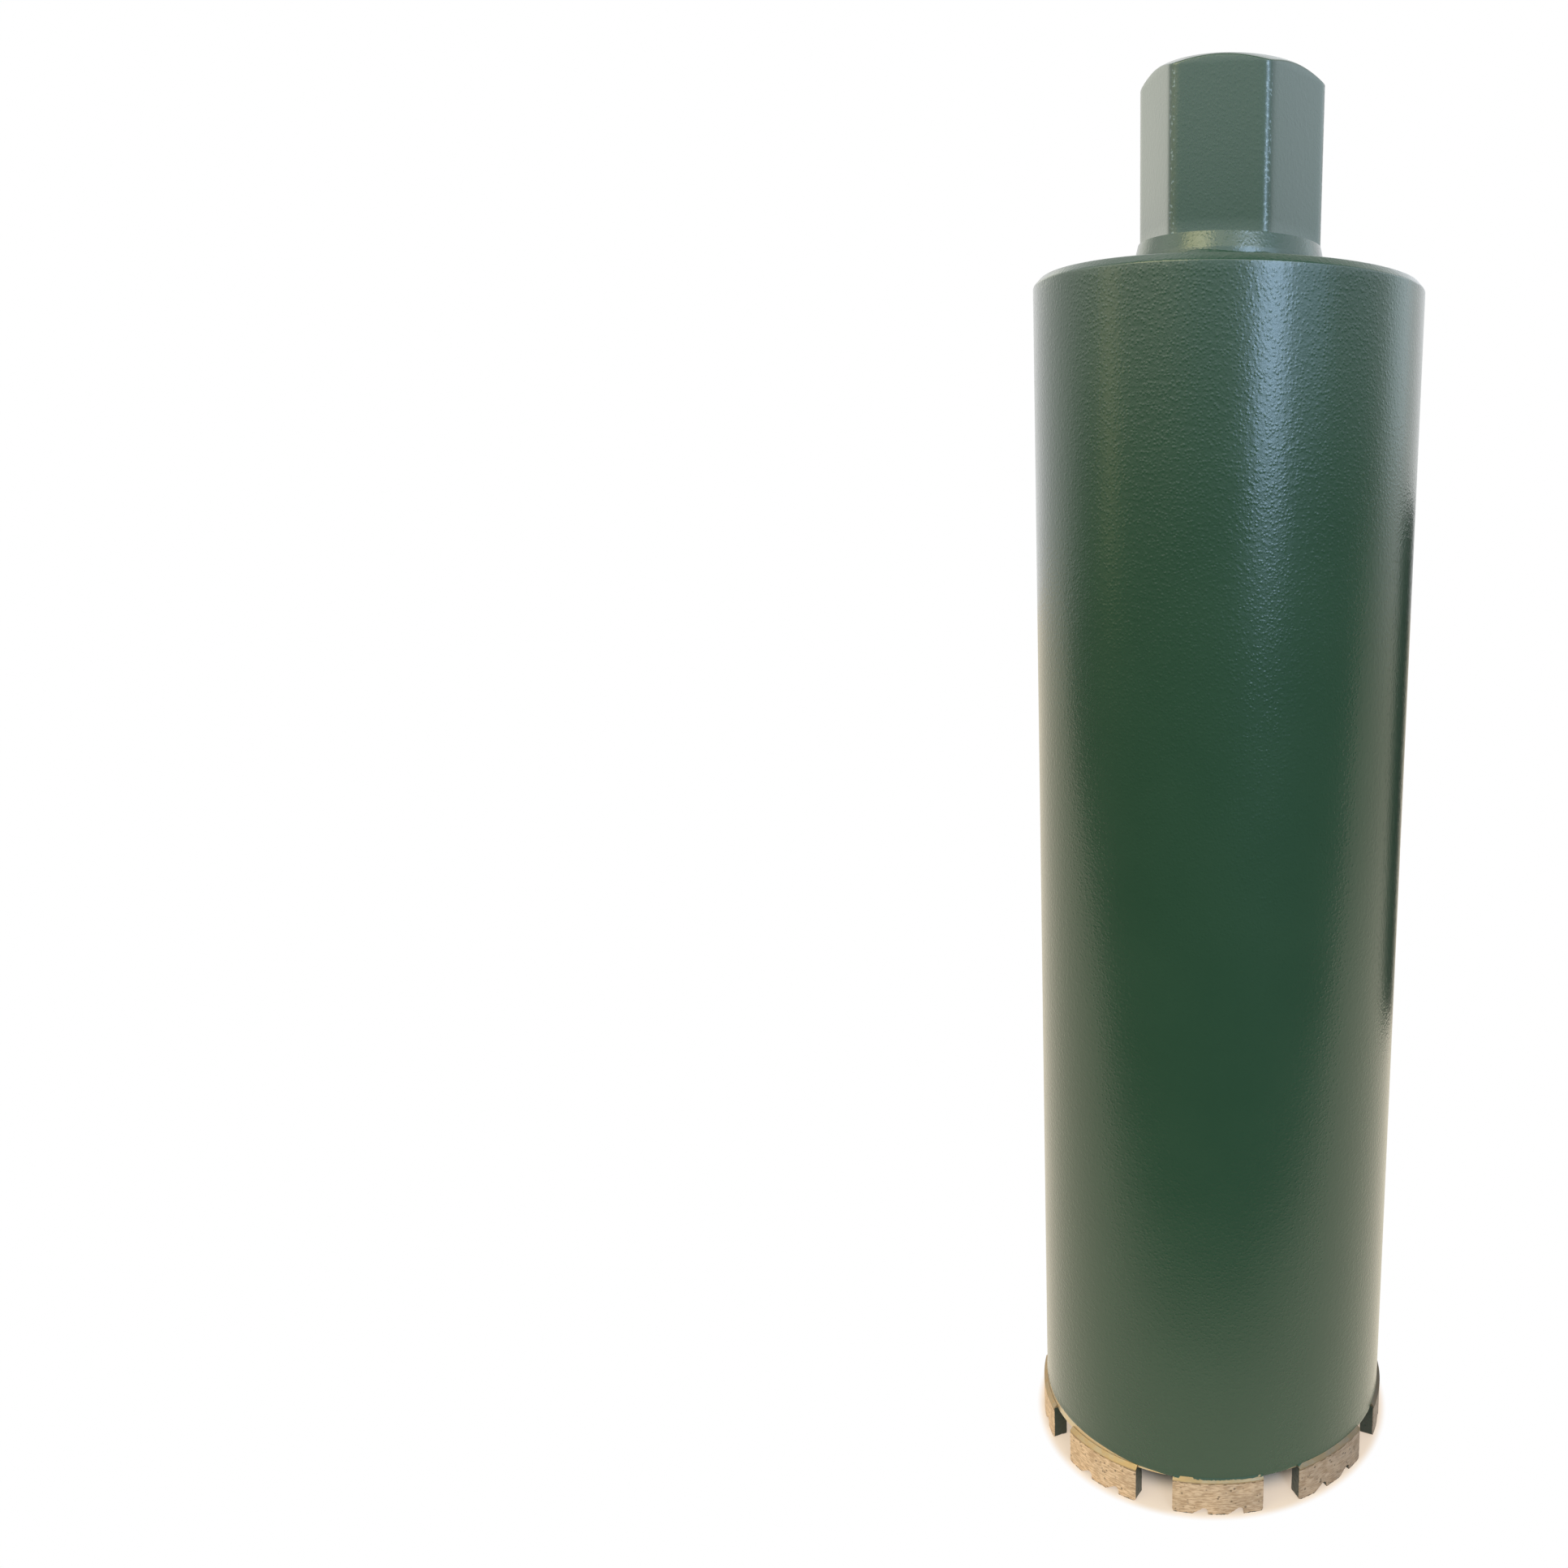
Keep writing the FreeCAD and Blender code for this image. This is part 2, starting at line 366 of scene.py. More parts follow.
def start_material(name):
    """Empty node material; returns it with its tree and its position in the part."""
    material = bpy.data.materials.new(name)
    material.use_nodes = True
    tree = material.node_tree
    tree.nodes.clear()
    place = tree.nodes.new("ShaderNodeTexCoord").outputs["Object"]
    return material, tree, place


def show_surface(tree, surface, kind="ShaderNodeOutputMaterial"):
    """Connect the finished shader to the output of a material or of the world."""
    output = tree.nodes.new(kind)
    tree.links.new(surface, output.inputs["Surface"])


def finish_material(tree, colour, metal, roughness, normal):
    """Connect the parts of a surface; metal is 0 for paint and 1 for bare metal."""
    shader = node(tree, "ShaderNodeBsdfPrincipled", None, Base_Color=colour, Metallic=metal,
                  Roughness=roughness, Normal=normal)
    shader.inputs["IOR"].default_value = METAL_IOR
    show_surface(tree, shader.outputs["BSDF"])
    return shader


def finish_paint(tree, colour, metal, roughness, normal):
    """Paint under a thin clear layer, which adds to the gloss of surfaces seen edge on."""
    shader = finish_material(tree, colour, metal, roughness, normal)
    shader.inputs["IOR"].default_value = PAINT_IOR
    shader.inputs["Coat Weight"].default_value = 1.0
    shader.inputs["Coat IOR"].default_value = COAT_IOR
    shader.inputs["Coat Roughness"].default_value = COAT_ROUGHNESS
    tree.links.new(normal, shader.inputs["Coat Normal"])


def painted_side_light(tree, place, colour):
    """Bare metal that turns from golden on one side of the crown to grey on the other: painted warm
    light on the golden side and painted shade on the grey side, broken into random blotches.
    """
    side = add(tree, side_of(tree, place, PAINTED_LIGHT_SIDE),
               multiply(tree, noise_at(tree, place, TINT_SCALE), 0.9))
    tint = blend(tree, ramp_line(tree, side, -0.25, 1.45), PAINTED_SHADE_TINT, PAINTED_LIGHT_TINT)
    return blend(tree, 1.0, colour, tint, "MULTIPLY")


def paint_colour(tree, place):
    """Slightly cloudy green, and the cloud that varies it."""
    cloud = ramp_line(tree, noise_at(tree, place, PAINT_CLOUD_SCALE, 3.0), 0.15, 0.85)
    return blend(tree, cloud, PAINT_GREEN, PAINT_PALE), cloud


def paint_parts(tree, place):
    """Colour, roughness and bump height of the green paint."""
    colour, cloud = paint_colour(tree, place)
    drops = subtract(tree, 1.0, ramp(tree, cells_at(tree, place, PAINT_DROP_SCALE), 0.05, 0.55))
    peel = noise_at(tree, place, PAINT_PEEL_SCALE)
    height = add(tree, multiply(tree, peel, 0.6), multiply(tree, drops, 0.3))
    roughness = add(tree, PAINT_ROUGHNESS, multiply(tree, cloud, 0.06))
    return colour, roughness, height


def make_paint():
    """Green paint all over, for the end plate and the welds."""
    material, tree, place = start_material("green_paint")
    colour, roughness, height = paint_parts(tree, place)
    finish_paint(tree, colour, 0.0, roughness, bump(tree, height, PAINT_RELIEF))
    return material


def make_tube_paint():
    """Green paint that leaves a narrow bare band at the foot of the tube."""
    material, tree, place = start_material("tube_paint")
    colour, roughness, height = paint_parts(tree, place)
    radius, level = radius_of(tree, place)
    outside = more(tree, radius, TUBE_INNER_RADIUS + 0.3 * MM)
    sunk = less(tree, radius, TUBE_RADIUS - STRIP_DEPTH / 2)
    low = less(tree, level, tube_low.z + STRIP_HEIGHT)
    bare = multiply(tree, multiply(tree, outside, sunk), low)
    tint = ramp(tree, noise_at(tree, place, STRIP_SCALE), 0.35, 0.65)
    colour = blend(tree, bare, colour, blend(tree, tint, STRIP_GOLD, STRIP_STEEL))
    roughness = add(tree, roughness, multiply(tree, bare, 0.12))
    finish_paint(tree, colour, bare, roughness, bump(tree, height, PAINT_RELIEF))
    return material


def bond_colour(tree, place, scratches, patches, pit):
    """Ground metal bond with pale streaks and dark pits."""
    pale = add(tree, multiply(tree, scratches, 0.7), multiply(tree, patches, 0.3))
    colour = blend(tree, ramp(tree, pale, 0.40, 0.60), GROUND_BOND, PALE_BOND)
    return blend(tree, multiply(tree, pit, 0.75), colour, DARK_BOND)


def joint_colour(tree, place, colour, flow):
    """Broken brown line along the top of a segment, and the golden filler above it."""
    shoulder = segment_high.z - JOINT_DEPTH
    gold = ramp(tree, flow, shoulder - 0.35 * MM, shoulder - 0.20 * MM)
    line = multiply(tree, ramp(tree, flow, shoulder - 0.6 * MM, shoulder - 0.4 * MM),
                    subtract(tree, 1.0, gold))
    broken = ramp(tree, noise_at(tree, place, JOINT_SCALE, 3.0), 0.45, 0.55)
    colour = blend(tree, multiply(tree, line, broken), colour, JOINT_BROWN)
    return blend(tree, gold, colour, GOLD_BRAZE)


def make_segment_metal():
    """Painted metal bond, ground bare on the outside of the crown."""
    material, tree, place = start_material("segment_metal")
    radius, level = radius_of(tree, place)
    ragged = noise_at(tree, place, GROUND_EDGE_SCALE, 4.0)
    depth = multiply(tree, subtract(tree, ragged, 0.5), BARE_RAGGEDNESS)
    outer = more(tree, add(tree, radius, depth), CROWN_RADIUS - BARE_DEPTH)
    lip = subtract(tree, multiply(tree, ragged, LIP_RAGGEDNESS), LIP_DROP)
    bare = multiply(tree, outer, more(tree, level, lip))
    stretched = node(tree, "ShaderNodeMapping", None, Vector=place, Scale=(1.0, 1.0, 7.0))
    scratches = noise_at(tree, stretched.outputs["Vector"], SCRATCH_SCALE, 4.0)
    patches = noise_at(tree, place, PATCH_SCALE, 3.0)
    pit = subtract(tree, 1.0, ramp(tree, cells_at(tree, place, PIT_SCALE), 0.12, 0.3))
    pit = multiply(tree, pit, ramp(tree, patches, 0.44, 0.56))
    colour = bond_colour(tree, place, scratches, patches, pit)
    flow = add(tree, level, multiply(tree, ragged, JOINT_RAGGEDNESS))
    colour = joint_colour(tree, place, colour, flow)
    # Painted faces take the darker crown green, which is painted shade; bare faces take painted light
    # and shade by side
    colour = blend(tree, bare, SHADED_CROWN_GREEN, painted_side_light(tree, place, colour))
    metal = multiply(tree, bare, CROWN_METALLIC)
    roughness = tree.nodes.new("ShaderNodeMix")
    feed(tree, roughness.inputs[0], bare)
    feed(tree, roughness.inputs[2], CROWN_ROUGHNESS)
    feed(tree, roughness.inputs[3], add(tree, CROWN_ROUGHNESS, multiply(tree, scratches, 0.25)))
    paint_height = noise_at(tree, place, CROWN_PAINT_SCALE)
    height = add(tree, multiply(tree, subtract(tree, scratches, pit), bare),
                 multiply(tree, paint_height, 0.6))
    normal = bump(tree, height, CROWN_RELIEF)
    finish_material(tree, colour, metal, roughness.outputs[0], normal)
    return material


def make_braze_metal():
    """Gold and silver brazing alloy, painted inside and, at the front, under the tube's edge."""
    material, tree, place = start_material("braze_metal")
    paint = paint_colour(tree, place)[0]
    radius, level = radius_of(tree, place)
    cloud = noise_at(tree, place, BRAZE_CLOUD_SCALE, 3.0)
    colour = blend(tree, ramp(tree, cloud, 0.35, 0.65), GOLD_BRAZE, SILVER_BRAZE)
    ragged = multiply(tree, noise_at(tree, place, BRAZE_EDGE_SCALE, 3.0), 0.6 * MM)
    reach = subtract(tree, radius, ragged)
    inside = less(tree, reach, TUBE_INNER_RADIUS)
    under = less(tree, reach, TUBE_RADIUS + 0.15 * MM)
    high = more(tree, level, braze_low.z + 0.2 * MM)
    side = add(tree, side_of(tree, place, SHOULDER_PAINT_SIDE),
               multiply(tree, subtract(tree, cloud, 0.5), 0.5))
    front = more(tree, side, math.cos(math.radians(SHOULDER_PAINT_SPAN)))
    under = multiply(tree, multiply(tree, under, high), front)
    painted = calculate(tree, "MAXIMUM", inside, under)
    # Bare braze takes painted light on one side and painted shade on the other
    colour = blend(tree, painted, painted_side_light(tree, place, colour), paint)
    metal = multiply(tree, subtract(tree, 1.0, painted), BRAZE_METALLIC)
    roughness = add(tree, BRAZE_ROUGHNESS, multiply(tree, painted, 0.35))
    lumps = noise_at(tree, place, BRAZE_LUMP_SCALE)
    finish_material(tree, colour, metal, roughness, bump(tree, lumps, CROWN_RELIEF))
    return material


def make_hub_paint():
    """Green paint outside, bare machined steel in the bore."""
    material, tree, place = start_material("hub_paint")
    colour, roughness, height = paint_parts(tree, place)
    radius, level = radius_of(tree, place)
    ragged = multiply(tree, noise_at(tree, place, BORE_EDGE_SCALE, 3.0), 1.2 * MM)
    bare = less(tree, add(tree, radius, ragged), THREAD_MAJOR_RADIUS + 0.8 * MM)
    steel = blend(tree, ramp(tree, noise_at(tree, place, STEEL_SCALE, 3.0), 0.3, 0.7),
                  DARK_STEEL, PALE_STEEL)
    on_corner = ramp(tree, radius, HEX_CORNER_RADIUS - 0.26 * MM, HEX_CORNER_RADIUS - 0.16 * MM)
    corner = multiply(tree, on_corner, more(tree, level, HEX_FOOT))
    # Pale specks along the hexagon's corners: painted highlights
    highlight_specks = ramp(tree, noise_at(tree, place, HIGHLIGHT_SPECK_SCALE), 0.54, 0.64)
    colour = blend(tree, multiply(tree, corner, highlight_specks), colour, CORNER_HIGHLIGHT_SPECK)
    colour = blend(tree, bare, colour, steel)
    collar = less(tree, level, HEX_FOOT + 0.1 * MM)
    rougher = add(tree, multiply(tree, corner, 0.20), multiply(tree, collar, 0.10))
    roughness = add(tree, roughness, rougher)
    deeper = add(tree, 1.0, multiply(tree, collar, 2.0))
    normal = bump(tree, multiply(tree, height, deeper), HUB_RELIEF)
    finish_paint(tree, colour, bare, roughness, normal)
    return material


def add_object(name, data):
    """New object in the scene."""
    made = bpy.data.objects.new(name, data)
    bpy.context.scene.collection.objects.link(made)
    return made


def make_object(name, points, faces, material, replaced):
    """New piece that rides on the bit and stands for a CAD node."""
    mesh = bpy.data.meshes.new(name)
    mesh.from_pydata(points, [], faces)
    mesh.materials.append(material)
    mesh.shade_smooth()
    mesh.set_sharp_from_angle(angle=math.radians(SHARP_ANGLE))
    made = add_object(name, mesh)
    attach(made, "root")
    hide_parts(*replaced)
    return made


def circle(divisions):
    """Angles in radians round the Z axis."""
    return np.radians(np.arange(divisions) * 360.0 / divisions)


def ring_faces(rows, columns):
    """Quads of a grid of points stored row by row, closed both ways."""
    faces = []
    for row in range(rows):
        above = (row + 1) % rows
        for column in range(columns):
            right = (column + 1) % columns
            faces.append((row * columns + column, row * columns + right,
                          above * columns + right, above * columns + column))
    return faces


def make_skin(name, rows, angles, material, replaced, reverse=False):
    """Closed skin round the Z axis. A row is (radius, height), each one number or one per angle."""
    divisions = len(angles)
    radii = np.array([np.broadcast_to(row[0], divisions) for row in rows])
    heights = np.array([np.broadcast_to(row[1], divisions) for row in rows])
    points = np.stack([radii * np.cos(angles), radii * np.sin(angles), heights], -1)
    faces = ring_faces(len(rows), divisions)
    if reverse:
        faces = [face[::-1] for face in faces]
    return make_object(name, points.reshape(-1, 3).tolist(), faces, material, replaced)


def eased(outline, radius, steps=4):
    """Round each inner corner of an open outline of (radius, height) points."""
    result = [outline[0]]
    for index in range(1, len(outline) - 1):
        corner = Vector(outline[index])
        before = Vector(outline[index - 1]) - corner
        after = Vector(outline[index + 1]) - corner
        reach = min(radius, 0.45 * before.length, 0.45 * after.length)
        start = corner + before.normalized() * reach
        end = corner + after.normalized() * reach
        for step in range(steps + 1):
            t = step / steps
            result.append(tuple(start * (1 - t) ** 2 + corner * (2 * t * (1 - t)) + end * t ** 2))
    result.append(outline[-1])
    return result


def wander(angles, radius, scale, seed):
    """Smooth random wave round the axis, about -0.5 to 0.5."""
    reach = [(math.cos(angle) * radius * scale, math.sin(angle) * radius * scale) for angle in angles]
    return np.array([noise.noise(Vector((x, y, seed))) for x, y in reach])


def make_barrel(material):
    """Tube whose paint ends in a soft bead above a narrow bare band at the foot."""
    angles = circle(720)
    foot = tube_low.z
    from_low = np.abs((np.degrees(angles) - PAINT_LOW_SIDE + 180.0) % 360.0 - 180.0)
    lean = np.clip((from_low - PAINT_LOW_SPAN) * PAINT_RISE, 0.0, PAINT_HIGHEST)
    edge = PAINT_START + lean + wander(angles, TUBE_RADIUS, 120.0, 1.0) * PAINT_EDGE_WANDER
    edge = np.maximum(edge, PAINT_LOWEST)
    swell = (0.8 + wander(angles, TUBE_RADIUS, 60.0, 7.0)) * BEAD_SWELL
    bare_radius = TUBE_RADIUS - STRIP_DEPTH
    rows = [
        (TUBE_INNER_RADIUS, foot + 0.2 * MM),
        (TUBE_INNER_RADIUS + 0.2 * MM, foot),
        (bare_radius - 0.05 * MM, foot),
        (bare_radius, foot + 0.05 * MM),
        (bare_radius, foot + edge),
        (TUBE_RADIUS + 0.6 * swell, foot + 0.04 * MM + edge),
        (TUBE_RADIUS + swell, foot + 0.22 * MM + edge),
        (TUBE_RADIUS + 0.75 * swell, foot + 0.7 * MM + edge),
        (TUBE_RADIUS + 0.25 * swell, foot + 1.4 * MM + edge),
        (TUBE_RADIUS, foot + 2.6 * MM + edge),
        (TUBE_RADIUS, weld_low.z),
        (TUBE_INNER_RADIUS, tube_high.z),
    ]
    make_skin("barrel_skin", rows, angles, material, ["barrel_tube"])


def make_end_plate(material):
    """End plate and its flush weld, with the chamfer edges eased."""
    angles = circle(288)
    width, height = PLATE_CHAMFER
    top = plate_high.z
    hidden = [
        (SPIGOT_RADIUS, plate_low.z),
        (TUBE_INNER_RADIUS, plate_low.z),
        (TUBE_INNER_RADIUS, weld_high.z),
    ]
    shown = [
        (TUBE_RADIUS, weld_high.z),
        (TUBE_RADIUS, top - height),
        (TUBE_RADIUS - width, top),
        (SPIGOT_RADIUS, top),
    ]
    rows = hidden + eased(shown, PLATE_EASE)
    make_skin("plate_turned", rows, angles, material, ["end_plate"])
    groove = (TUBE_RADIUS - RIM_WELD_DEPTH, (weld_low.z + weld_high.z) / 2)
    rows = [(TUBE_RADIUS, weld_low.z), (TUBE_RADIUS, weld_high.z), groove]
    make_skin("flush_weld", rows, angles, material, ["rim_weld"])


def hexagon_radius(angles):
    """Distance from the axis to the hexagon's side, with its corners turned round."""
    from_flat = np.degrees(angles) % 60.0 - 30.0
    side = HEX_HALF_WIDTH / np.cos(np.radians(from_flat))
    gap = (HEX_CORNER_RADIUS - side) / HEX_CORNER_EASE
    return HEX_CORNER_RADIUS - HEX_CORNER_EASE * np.logaddexp(0.0, gap)


def hub_outside(angles):
    """Rows from the mouth of the bore over the hexagon and collar to the spigot's end."""
    top = hub_high.z
    side = hexagon_radius(angles)
    start = HEX_HALF_WIDTH - HEX_CHAMFER_INSET
    slope = math.tan(math.radians(HEX_CHAMFER_ANGLE))
    edge = top - (side - start) * slope
    ease = HEX_TOP_EASE
    rows = [
        (THREAD_MOUTH_RADIUS + 0.3 * MM, top),
        (start - ease, top),
        (start, top - 0.15 * ease),
        (start + ease, top - ease * slope),
        (side - 2.0 * ease, edge + 2.0 * ease * slope),
        (side - 0.6 * ease, edge + 0.35 * ease * slope),
        (side - 0.15 * ease, edge - 0.4 * ease),
        (side, edge - 1.3 * ease),
    ]
    lowest = top - (HEX_CORNER_RADIUS - start) * slope - 2.0 * ease
    for height in np.linspace(lowest, HEX_FOOT + 0.4 * MM, 12):
        rows.append((side, height))
    collar_top = COLLAR_RADIUS - COLLAR_TAPER[0]
    rows.append((np.minimum(side + 0.04 * MM, collar_top), HEX_FOOT + 0.1 * MM))
    rows.append((np.minimum(side + 0.16 * MM, collar_top), HEX_FOOT))
    for step in range(9):
        share = step / 8
        rows.append((collar_top + COLLAR_TAPER[0] * share, HEX_FOOT - COLLAR_TAPER[1] * share))
    rows.append((COLLAR_RADIUS, plate_high.z))
    rows.append((SPIGOT_RADIUS, plate_high.z))
    rows.append((SPIGOT_RADIUS, hub_low.z + BORE_CHAMFER))
    rows.append((SPIGOT_RADIUS - BORE_CHAMFER, hub_low.z))
    return rows


def hub_bore(angles):
    """Rows up the bore: plain below, right-hand female thread above."""
    top = hub_high.z
    rows = [
        (THREAD_MINOR_RADIUS + BORE_CHAMFER, hub_low.z),
        (THREAD_MINOR_RADIUS, hub_low.z + BORE_CHAMFER),
        (THREAD_MINOR_RADIUS, top - THREAD_LENGTH - 0.2 * MM),
    ]
    depth_of_thread = THREAD_MAJOR_RADIUS - THREAD_MINOR_RADIUS
    for height in np.linspace(top - THREAD_LENGTH, top - 0.25 * MM, 210):
        phase = (height / THREAD_PITCH - angles / (2 * math.pi)) % 1.0
        groove = np.clip(1.0 - (np.abs(phase - 0.5) - 0.06) / 0.32, 0.0, 1.0)
        fade = min(1.0, (height - top + THREAD_LENGTH) / THREAD_PITCH)
        thread = THREAD_MINOR_RADIUS + depth_of_thread * groove * fade
        lead_in = THREAD_MOUTH_RADIUS - (top - height)
        rows.append((np.maximum(thread, lead_in), height))
    return rows


def make_hub(material):
    """Hexagon, collar and threaded bore, closed in one skin."""
    angles = circle(360)
    rows = hub_bore(angles) + hub_outside(angles)
    make_skin("hub_skin", rows, angles, material, ["hub"], reverse=True)


def make_hub_weld(material):
    """Fillet weld round the collar, with shallow ripples under the paint."""
    angles = circle(720)
    leg = fillet_high.x - COLLAR_RADIUS
    floor = plate_high.z
    strength = np.clip(0.7 + 1.2 * wander(angles, 1.0, 6.0, 11.0), 0.0, 1.0)
    ripple = np.cos(angles * RIPPLE_COUNT + 5.0 * wander(angles, 1.0, 8.0, 3.0))
    ripple = ripple * strength * RIPPLE_HEIGHT
    crest = (angles - math.radians(WELD_CREST_SIDE) + math.pi) % (2 * math.pi) - math.pi
    sway = wander(angles, COLLAR_RADIUS, 150.0, 5.0) * WELD_SWAY
    sway = sway + WELD_CREST_HEIGHT * np.exp(-(crest / WELD_CREST_SPREAD) ** 2)
    rows = [
        (COLLAR_RADIUS, floor),
        (COLLAR_RADIUS, floor + leg + sway + ripple),
        (COLLAR_RADIUS + 0.12 * leg, floor + 0.88 * leg + sway + ripple),
        (COLLAR_RADIUS + 0.30 * leg, floor + 0.69 * leg + 0.5 * sway + ripple),
        (COLLAR_RADIUS + 0.52 * leg, floor + 0.47 * leg + ripple),
        (COLLAR_RADIUS + 0.78 * leg, floor + 0.21 * leg + ripple),
        (fillet_high.x - 0.1 * MM, floor),
    ]
    make_skin("collar_weld", rows, angles, material, ["hub_weld"], reverse=True)


def fine_mesh(cad_node):
    """Copy of a CAD node's mesh, remade in even small quads."""
    mesh = cad_node.data.copy()
    mesh.transform(cad_node.matrix_world)
    rough = add_object("rough", mesh)
    remesh = rough.modifiers.new("fine", "REMESH")
    remesh.mode = "VOXEL"
    remesh.voxel_size = SEGMENT_GRAIN
    evaluated = rough.evaluated_get(bpy.context.evaluated_depsgraph_get())
    fine = bpy.data.meshes.new_from_object(evaluated)
    bpy.data.objects.remove(rough)
    return fine


def read_vertices(mesh, what):
    """One vector per vertex of a mesh: its position, co, or its normal."""
    values = np.empty(len(mesh.vertices) * 3)
    mesh.vertices.foreach_get(what, values)
    return values.reshape(-1, 3)


def make_segment(name, material):
    """Segment remade in fine quads, with worn edges and small pits."""
    fine = fine_mesh(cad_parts[name])
    points = read_vertices(fine, "co")
    normals = read_vertices(fine, "normal")
    grain = np.array([noise.noise(Vector(point) * 700.0) for point in points])
    pits = np.array([noise.noise(Vector(point) * 1500.0) for point in points])
    ground = np.hypot(points[:, 0], points[:, 1]) > CROWN_RADIUS - GROUND_DEPTH
    lumps = np.where(ground, GROUND_LUMPS, PAINTED_LUMPS) * (grain - 0.6)
    holes = np.where(pits > HOLE_LIMIT, -HOLE_DEPTH * (pits - HOLE_LIMIT), 0.0)
    seated = points[:, 2] > segment_high.z - SEAT_HEIGHT
    move = np.where(seated, 0.0, lumps + holes)
    points = points + normals * move[:, None]
    radius = np.hypot(points[:, 0], points[:, 1])
    points[:, :2] *= np.minimum(1.0, (CROWN_RADIUS - OUTLINE_MARGIN) / radius)[:, None]
    points[:, 2] = np.maximum(points[:, 2], 0.0)
    faces = [tuple(polygon.vertices) for polygon in fine.polygons]
    make_object(name + "_worn", points.tolist(), faces, material, [name])


def make_camera():
    """Camera of the photograph: it stands off the axis, so the sensor is shifted."""
    pitch = math.radians(CAMERA_PITCH)
    roll = math.radians(CAMERA_ROLL)
    turn = Matrix.Rotation(math.radians(CAMERA_AZIMUTH), 3, "Z")
    look = turn @ Matrix.Rotation(math.radians(CAMERA_YAW), 3, "Z")
    forward = look @ Vector((0, math.cos(pitch), math.sin(pitch)))
    level_up = look @ Vector((0, -math.sin(pitch), math.cos(pitch)))
    level_right = look @ Vector((1, 0, 0))
    right = level_right * math.cos(roll) + level_up * math.sin(roll)
    up = level_up * math.cos(roll) - level_right * math.sin(roll)
    data = bpy.data.cameras.new("camera")
    data.lens = data.sensor_width * FOCAL_PIXELS / PHOTO_SIZE
    data.shift_x = 0.5 - CENTRE_COLUMN / PHOTO_SIZE
    data.clip_start = CAMERA_NEAREST
    data.clip_end = CAMERA_FARTHEST
    camera = add_object("camera", data)
    axes = Matrix((right, up, -forward)).transposed()
    camera.matrix_world = axes.to_4x4()
    camera.location = turn @ Vector((0, -CAMERA_DISTANCE, CAMERA_HEIGHT))
    bpy.context.scene.camera = camera


def floor_mirrored(tree, place):
    """What reflections show of the floor: a painted pool of warm light near the bit, fading to
    painted shade towards the camera and on the right.
    """
    sides = node(tree, "ShaderNodeSeparateXYZ", None, Vector=place).outputs
    far_left = calculate(tree, "MINIMUM", add(tree, sides["X"], FLOOR_LEFT_START), 0.0)
    behind = add(tree, sides["Y"], multiply(tree, far_left, FLOOR_LEFT_SHIFT))
    painted_light_pool = ramp(tree, behind, -FLOOR_FADE_END, -FLOOR_FADE_START)
    dimmer = multiply(tree, ramp(tree, sides["X"], *FLOOR_RIGHT_FADE), FLOOR_RIGHT_DIMMING)
    painted_light_pool = multiply(tree, painted_light_pool, subtract(tree, 1.0, dimmer))
    return blend(tree, painted_light_pool, ROOM_LOW, FLOOR_WARM)


def make_floor_material():
    """Pale surface under the bit's soft shadow, with a painted warm glow round the crown, glowing
    white away from it.
    """
    material, tree, place = start_material("floor")
    diffuse = node(tree, "ShaderNodeBsdfDiffuse", None, Color=FLOOR_COLOUR)
    rays = tree.nodes.new("ShaderNodeLightPath").outputs
    seen = calculate(tree, "MAXIMUM", rays["Is Camera Ray"], rays["Is Glossy Ray"])
    seen = calculate(tree, "MAXIMUM", seen, rays["Is Transmission Ray"])
    distance = radius_of(tree, place)[0]
    near = ramp(tree, distance, FLOOR_DARK_END, FLOOR_GLOW_START)
    far = ramp(tree, distance, FLOOR_GLOW_END, FLOOR_WHITE_START)
    away = blend(tree, rays["Is Camera Ray"], floor_mirrored(tree, place), WHITE)
    # Painted warm glow round the crown, laid over the shadow
    glow = blend(tree, far, FLOOR_GLOW, away)
    emission = node(tree, "ShaderNodeEmission", None, Color=glow, Strength=1.0)
    share = add(tree, multiply(tree, near, FLOOR_NEAR_SHARE), multiply(tree, far, FLOOR_FAR_SHARE))
    mix = tree.nodes.new("ShaderNodeMixShader")
    feed(tree, mix.inputs[0], multiply(tree, seen, share))
    feed(tree, mix.inputs[1], diffuse.outputs["BSDF"])
    feed(tree, mix.inputs[2], emission.outputs["Emission"])
    show_surface(tree, mix.outputs["Shader"])
    return material


def add_sheet(name, corners, face, material):
    """Flat piece of the studio, with one face."""
    mesh = bpy.data.meshes.new(name)
    mesh.from_pydata(corners, [], [face])
    mesh.materials.append(material)
    return add_object(name, mesh)


def make_floor():
    """Sheet under the bit that ends in front of the camera."""
    left, right = -FLOOR_REACH, FLOOR_REACH
    front, back = -FLOOR_FRONT, FLOOR_REACH
    corners = [(left, front, 0.0), (right, front, 0.0), (right, back, 0.0), (left, back, 0.0)]
    floor = add_sheet("floor", corners, (0, 1, 2, 3), make_floor_material())
    floor.rotation_euler.z = math.radians(CAMERA_AZIMUTH)


